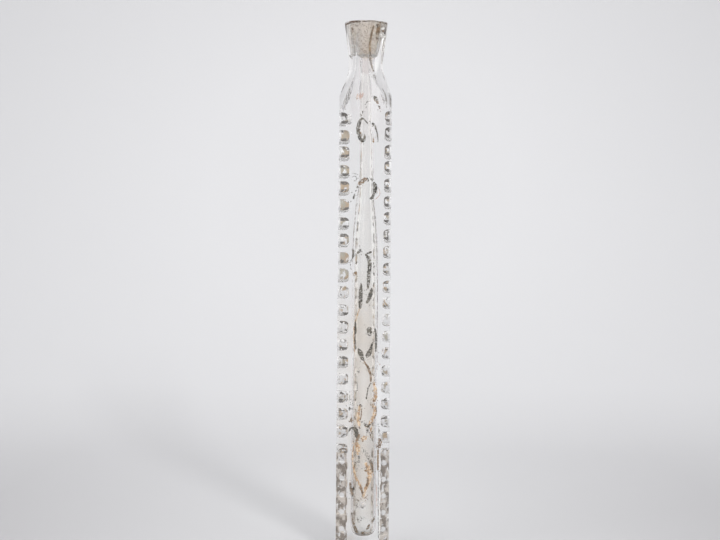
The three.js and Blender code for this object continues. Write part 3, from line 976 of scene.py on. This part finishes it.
# Painted shade as thin dark lines along the ridges of the neck and shoulders, the edges of the throat and
# the hollow, the tops of the foot bevels and the front's lower right edge, with a painted highlight as a
# pale line beside that edge; and dirt along the rim's edge, and stains, dark spots and crushed glass at
# the chip
DIRT_AND_PAINTED_LIGHTING = strokes_from("""
ridge 2.4 163.5 0.31, 1.9 161.7 0.49, 1.4 159.5 0.62, 1.2 157.5 0.68, 1.2 155.4 0.7
haze 1.2 156 0.7, 1.3 154.4 0.74, 1.4 152.7 0.68, 1.9 150.9 0.5, 2.5 149.3 0.37
smoke 2.5 148.7 0.4, 2.7 148 0.8, 3.1 147.2 0.5
smoke 5.8 156.3 0.37, 5.5 154.8 0.43, 5.1 153.1 0.49, 5.2 151.5 0.37
smoke 5.2 144.2 0.34, 6 142.4 0.4, 6.4 140.5 0.53, 6.5 138 0.34
smoke 7.1 143.1 0.37, 7.6 141.7 0.74, 7.7 139.9 0.74, 7.8 138.3 0.37
smoke -6.2 146.1 0.25, -7 144.5 0.31, -7.6 143 0.25
smoke -5.2 154.8 0.49, -4.8 154.3 0.37, -4.2 153.3 0.31
smoke -5.4 152.7 0.22, -5.3 150.4 0.25, -5.6 148.4 0.22
smoke -6.6 138.6 0.31, -6.1 137.3 0.28
grime -6.5 164.2 0.4, -5.6 164.4 0.56, -4.4 164.5 0.56, -2.8 164.6 0.56, -1.4 164.6 0.4, 0 164.7 0.28,
    1.8 164.8 0.25, 3.4 164.7 0.28, 4.6 164.6 0.34
brown 3.4 164.1 0.8, 3.8 163.1 1.3, 3.6 161.8 1.11, 3.1 160.7 0.49
grime 3.3 162.7 0.56, 3.7 162.5 0.56
grime 4.7 163.5 0.46, 5 163.4 0.46
grime 4.7 162.3 0.62, 5.2 162.1 0.59, 5.7 162 0.37
grime 4.2 163.9 0.34, 4.4 163.8 0.34
grime 2.9 159.9 0.37, 3.3 159.7 0.56, 3.8 159.7 0.37
grime 4.3 159.8 0.28, 4.6 159.7 0.28
crushed 4.1 163.2 0.37, 4.6 162.8 0.56, 5.4 162.9 0.56, 5.8 163.4 0.43
crushed 4.5 161.4 0.37, 4.8 160.8 0.62, 5 160.2 0.37
crushed 5.3 161.3 0.34, 5.7 161.1 0.34
crushed 5.75 161.2 0.5, 5.75 159.8 0.6, 5.65 158.3 0.4
brown -4.5 162.9 0.37, -4.2 162.1 0.68, -4.3 161.2 0.37
brown -4.4 156.9 0.43, -3.9 156.8 0.43
smoke -0.9 154.2 0.31, -0.5 154 0.34
grime -7.5 32 0.31, -7 32.5 0.49, -6.1 32.7 0.55, -5.2 32.6 0.49, -4.8 32.2 0.31
smoke 4.9 26.9 0.22, 4.9 17 0.28, 5 5.3 0.28
crushed 5.3 30 0.18, 5.3 17 0.25, 5.4 5.3 0.25
smoke 5.8 31.4 0.25, 6.3 32.4 0.31, 7 32.8 0.31, 7.6 32.3 0.28
smoke 2.5 119.4 0.15, 2.4 115.1 0.18, 2.7 109.2 0.31, 3.3 102.7 0.34, 3.7 96.9 0.34, 3.9 91.6 0.34,
    4.1 81.8 0.31, 4.1 71 0.31, 4.2 57.1 0.22
smoke -1.5 124.9 0.15, -1.4 118.8 0.22, -1.7 114.2 0.18, -2.5 109.2 0.22, -2.9 104.3 0.25,
    -3.3 99.7 0.28, -3.5 95 0.25, -3.8 90.4 0.18
smoke -1.5 154.2 0.22, -1.6 152.4 0.25, -1.6 150.8 0.18
""")

# What dried on the floor of the hollow
RESIDUE = strokes_from("""
residue -3.4 12.6 0.5, -3.1 10.8 0.6, -2.6 9 0.8, -2.2 7.7 1.1, -1.7 6.9 1, -1.1 6.7 0.7
residue -0.5 6.5 0.7, 0.4 6.5 0.9, 1.1 6.9 0.6
residue 1.4 7.4 0.7, 1.8 8.3 0.8, 2.3 9.3 0.6
residue 3 9.7 0.5, 3.5 10.5 0.6, 3.9 11.6 0.5
residue -1.5 10.6 0.4, -1.2 10.4 0.4
""")
GILDING = ("tarnish", "brown", "ochre", "grey", "faded")
LAYERS = {}
for name, tone in TONES.items():
    LAYERS[name] = thin_layer(("gilding_" if name in GILDING else "dirt_") + name, tone)

# How many flecks may lie beside each point of a stroke that is lower than the given height
FLECKS = ((48, 4), (62, 2), (HEIGHT, 1))
# How far apart the rows of a flake lie, and how far its two faces stand in front of the glass
FLAKE_STEP = 0.16
FLAKE_FACES = (0.004, 0.024)


def with_flecks(strokes):
    """The strokes, and small flecks beside them where the gilding broke up, more of them low down."""
    draw = random.Random(23)
    flecks = []
    for tone, points in strokes:
        for x, z, width in points:
            for number in range(next(count for below, count in FLECKS if z < below)):
                turn = draw.uniform(0, 2 * math.pi)
                away = 0.5 * width + draw.uniform(0.05, 0.75)
                size = draw.uniform(0.22, 0.55)
                lean = Vector((draw.uniform(-0.35, 0.35), draw.uniform(-0.4, 0.4)))
                start = Vector((x + away * math.cos(turn), z + away * math.sin(turn)))
                tint = "brown" if tone == "ochre" and draw.random() < 0.5 else tone
                if draw.random() < 0.75:
                    flecks.append((tint, [(*start, size), (*(start + lean), 0.8 * size)]))
    return strokes + flecks


def smooth_path(points, step):
    """Points along a smooth curve through the given ones, about step apart."""
    rows = [Vector(p) for p in points]
    rows = [2 * rows[0] - rows[1]] + rows + [2 * rows[-1] - rows[-2]]
    path = []
    for a, b, c, d in zip(rows, rows[1:], rows[2:], rows[3:]):
        count = max(2, int((c - b).xy.length / step))
        for i in range(count):
            t = i / count
            bend = (2 * a - 5 * b + 4 * c - d) * t * t + (3 * b - 3 * c + d - a) * t**3
            path.append(0.5 * (2 * b + (c - a) * t + bend))
    path.append(rows[-2])
    return path


def make_strokes(name, strokes, surface):
    """Thin flakes in front of the face they lie on. surface gives the point of the face at (x, z)."""
    draw = random.Random(11)
    used = sorted({tone for tone, points in strokes})
    shape = bmesh.new()
    for tone, points in strokes:
        path = smooth_path(points, FLAKE_STEP)
        seed = Vector((draw.uniform(0, 50), draw.uniform(0, 50), 0))
        rows = []
        for i, p in enumerate(path):
            ahead = path[min(i + 1, len(path) - 1)] - path[max(i - 1, 0)]
            across = Vector((-ahead.y, ahead.x)).normalized()
            ends = min(1.0, 0.5 + 0.25 * min(i, len(path) - 1 - i))
            row = []
            for side in (1, 0, -1):
                rough = 1 + 0.45 * noise.noise(Vector((p.x * 2.2, p.y * 2.2, side * 3)) + seed)
                off = across * (side * 0.5 * max(p.z, 0.2) * ends * rough)
                x, y, z = surface(p.x + off.x, p.y + off.y)
                row.append([shape.verts.new(Vector((x, y - lift, z)) * MM) for lift in FLAKE_FACES])
            rows.append(row)
        faces = []
        for (a, b, c), (d, e, f) in zip(rows, rows[1:]):
            for near, far, next_near, next_far in ((a, b, d, e), (b, c, e, f)):
                faces.append((near[1], far[1], next_far[1], next_near[1]))
                faces.append((near[0], next_near[0], next_far[0], far[0]))
            faces += [(a[0], a[1], d[1], d[0]), (c[0], f[0], f[1], c[1])]
        for a, b, c in (rows[0], rows[-1]):
            faces += [(a[0], b[0], b[1], a[1]), (b[0], c[0], c[1], b[1])]
        for corners in faces:
            shape.faces.new(corners).material_index = used.index(tone)
    bmesh.ops.recalc_face_normals(shape, faces=shape.faces)
    mesh = bpy.data.meshes.new(name)
    shape.to_mesh(mesh)
    shape.free()
    piece = new_object(name, mesh)
    for tone in used:
        mesh.materials.append(LAYERS[tone])
    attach(piece, "root")


def make_stage():
    """A pale sheet that runs flat under the bottle and curves up behind it."""
    points, faces = [], []
    half_width, curve_start, curve_radius = 1500.0, 350.0, 500.0
    path = [(-1600.0, 0.0), (-700.0, 0.0), (curve_start, 0.0)]
    for i in range(1, 25):
        a = i / 24 * math.pi / 2
        y = curve_start + curve_radius * math.sin(a)
        path.append((y, curve_radius - curve_radius * math.cos(a)))
    path.append((curve_start + curve_radius, 1900.0))
    for y, z in path:
        points += [(-half_width, y, z - AIR_GAP), (half_width, y, z - AIR_GAP)]
    for i in range(len(path) - 1):
        faces.append([2 * i, 2 * i + 1, 2 * i + 3, 2 * i + 2])
    sweep = new_object("studio_sweep", mesh_from("studio_sweep", points, faces))
    for polygon in sweep.data.polygons:
        polygon.use_smooth = True
    made, tree, shader, place = material("pale_paper", Roughness=0.9)
    grain = add_noise(tree, place, 900, 3.0)
    pale = add_mix(tree, grain, (0.69, 0.69, 0.703), (0.71, 0.71, 0.723))
    at = axes(tree, place)
    across = add_math(tree, "ABSOLUTE", at["X"])
    # The wall is painted darker away from a point behind the bottle, as a painted pool of light, and
    # paler again beyond the camera's view, as a painted brighter room
    away = add_span(tree, at["X"], add_math(tree, "SUBTRACT", at["Z"], 0.15))
    wall = add_mix(tree, add_range(tree, away, 0.1, 0.5), pale, (0.505, 0.505, 0.518))
    wall = add_mix(tree, add_range(tree, across, 0.285, 0.33), wall, (0.82, 0.82, 0.83))
    # Towards the camera the paper is painted darker, and darker still to either side: painted shade
    near = add_range(tree, at["Y"], 0.5, -0.1)
    aside = add_range(tree, across, 0.03, 0.14)
    floor = add_mix(tree, aside, (0.575, 0.575, 0.585), (0.36, 0.355, 0.365))
    tree.links.new(add_mix(tree, near, wall, floor), shader.inputs["Base Color"])
    sweep.data.materials.append(made)


def add_light(name, place, target, size, power, seen_in_glass=True):
    data = bpy.data.lights.new(name, "AREA")
    data.shape = "RECTANGLE"
    data.size, data.size_y = size
    data.energy = power
    lamp = new_object(name, data)
    lamp.visible_glossy = seen_in_glass
    lamp.visible_transmission = seen_in_glass
    lamp.location = place
    lamp.rotation_euler = (Vector(target) - Vector(place)).to_track_quat("-Z", "Y").to_euler()


def make_lights():
    add_light("front_right_window", (0.27, -1.05, 0.45), (0, 0, 0.08), (0.11, 0.11), 7.0, False)
    add_light("front_left_fill", (-0.60, -0.90, 0.50), (0, 0, 0.06), (0.8, 0.8), 2.9)
    add_light("high_soft_light", (0, -0.7, 1.7), (0, 0.5, 0.15), (2.0, 1.6), 8.0)
    world = bpy.data.worlds.new("studio_air")
    world.use_nodes = True
    tree = world.node_tree
    direction = axes(tree, tree.nodes.new("ShaderNodeTexCoord").outputs["Generated"])
    # The room in front of the bottle is darker than the rest
    in_front = add_range(tree, direction["Y"], -0.97, -0.85)
    room = add_mix(tree, in_front, (0.36, 0.35, 0.34), (0.83, 0.83, 0.835))
    tree.links.new(room, tree.nodes["Background"].inputs["Color"])
    scene.world = world


def make_camera():
    data = bpy.data.cameras.new("front_camera")
    data.lens = 100
    data.sensor_width = 36
    data.clip_start = 0.01
    camera = new_object("front_camera", data)
    upright = Matrix.Rotation(math.radians(90), 4, "X") @ Matrix.Rotation(math.radians(0.45), 4, "Z")
    camera.matrix_world = Matrix.Translation((-0.0013, -0.6230, 0.08795)) @ upright
    scene.camera = camera


surface_tree = BVHTree.FromObject(glass, bpy.context.evaluated_depsgraph_get())


def on_front(x, z):
    """The point of the glass's front at a place. A place beside the glass is drawn in to it."""
    for tries in range(60):
        hit = surface_tree.ray_cast(Vector((x * MM, -0.05, z * MM)), Vector((0, 1, 0)))[0]
        if hit and hit.y < 0:
            return x, hit.y / MM, z
        x *= 0.99
    return x, 0.0, z


def on_hollow(x, z):
    """The point of the hollow's front wall at a place."""
    hit = surface_tree.ray_cast(Vector((x, 0, z)) * MM, Vector((0, -1, 0)))[0]
    return x, hit.y / MM if hit else 0.0, z


make_strokes("gilt_scrollwork", with_flecks(SCROLLWORK), on_front)
make_strokes("dirt_and_painted_lighting", DIRT_AND_PAINTED_LIGHTING, on_front)
make_strokes("dried_residue", RESIDUE, on_hollow)
make_stage()
make_lights()
make_camera()
scene.view_settings.view_transform = "Standard"
# Cut glass needs long light paths
scene.cycles.max_bounces = 24
scene.cycles.glossy_bounces = 16
scene.cycles.transmission_bounces = 24
